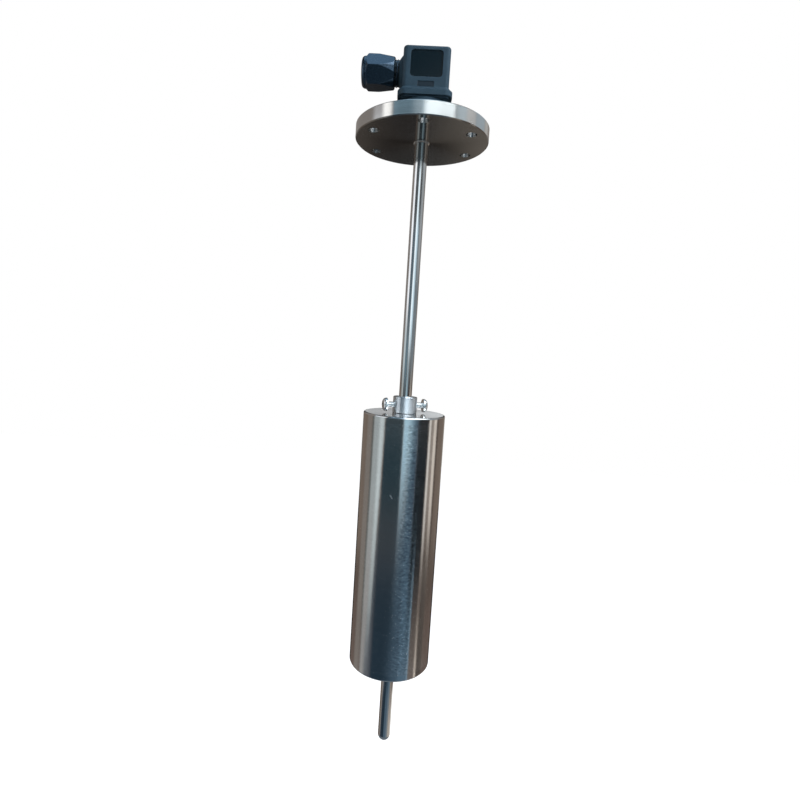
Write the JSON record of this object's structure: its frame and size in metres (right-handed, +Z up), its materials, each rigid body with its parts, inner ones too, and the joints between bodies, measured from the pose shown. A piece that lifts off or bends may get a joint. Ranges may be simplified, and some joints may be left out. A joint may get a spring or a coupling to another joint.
{
  "type": "liquid level sensor",
  "caption": "Float level sensor: round bolt flange, slim rounded stem, long cylindrical float sliding under a screwed clamp collar, right-angle black cable plug with a gland on top",
  "frame": {"origin": "centre of the flange's underside, on the axis of the stem and in the middle of the bolt circle", "axes": "+Z up along the stem towards the cable plug, -X out through the cable gland, -Y towards the side that the picture shows"},
  "size_m": [0.08, 0.08, 0.4301],
  "materials": {
    "flange_steel": "turned stainless steel",
    "stem_steel": "polished stainless steel tube",
    "float_steel": "fine ground stainless steel",
    "collar_steel": "turned stainless steel",
    "screw_steel": "bright stainless steel",
    "plug_nylon": "satin moulded black nylon",
    "gland_nylon": "glossy moulded black nylon",
    "seal_rubber": "matt black rubber",
    "contact_brass": "bare brass",
    "magnet_ferrite": "sintered dark grey ferrite",
    "board_laminate": "green glass fibre laminate",
    "reed_glass": "clear drawn glass",
    "wire_sleeve": "matt wire insulation"
  },
  "bodies": {
    "sensor": {"flange": "flange_steel", "stem_tube": "stem_steel", "stem_end_plug": "stem_steel", "stop_collar": "collar_steel", "collar_screws": "screw_steel", "retaining_ring": "screw_steel", "base_screws": "screw_steel", "terminal_screws": "screw_steel", "centre_screw": "screw_steel", "plug_housing": "plug_nylon", "plug_base": "plug_nylon", "terminal_insert": "plug_nylon", "gland_nut": "gland_nylon", "gland_washer": "gland_nylon", "foot_seal": "seal_rubber", "profile_gasket": "seal_rubber", "screw_washer": "seal_rubber", "gland_seal": "seal_rubber", "base_blades": "contact_brass", "centre_nut": "contact_brass", "terminal_contacts": "contact_brass", "reed_board": "board_laminate", "reed_switch": "reed_glass", "signal_wires": "wire_sleeve"},
    "float": {"float_shell": "float_steel", "float_top_cap": "float_steel", "float_bottom_cap": "float_steel", "float_guide_tube": "float_steel", "float_magnet": "magnet_ferrite", "magnet_clips": "screw_steel"}
  },
  "joints": [
    {"name": "float_slide", "type": "slide", "parent": "sensor", "child": "float", "axis": [0, 0, 1], "range_m": [-0.01, 0]}
  ]
}
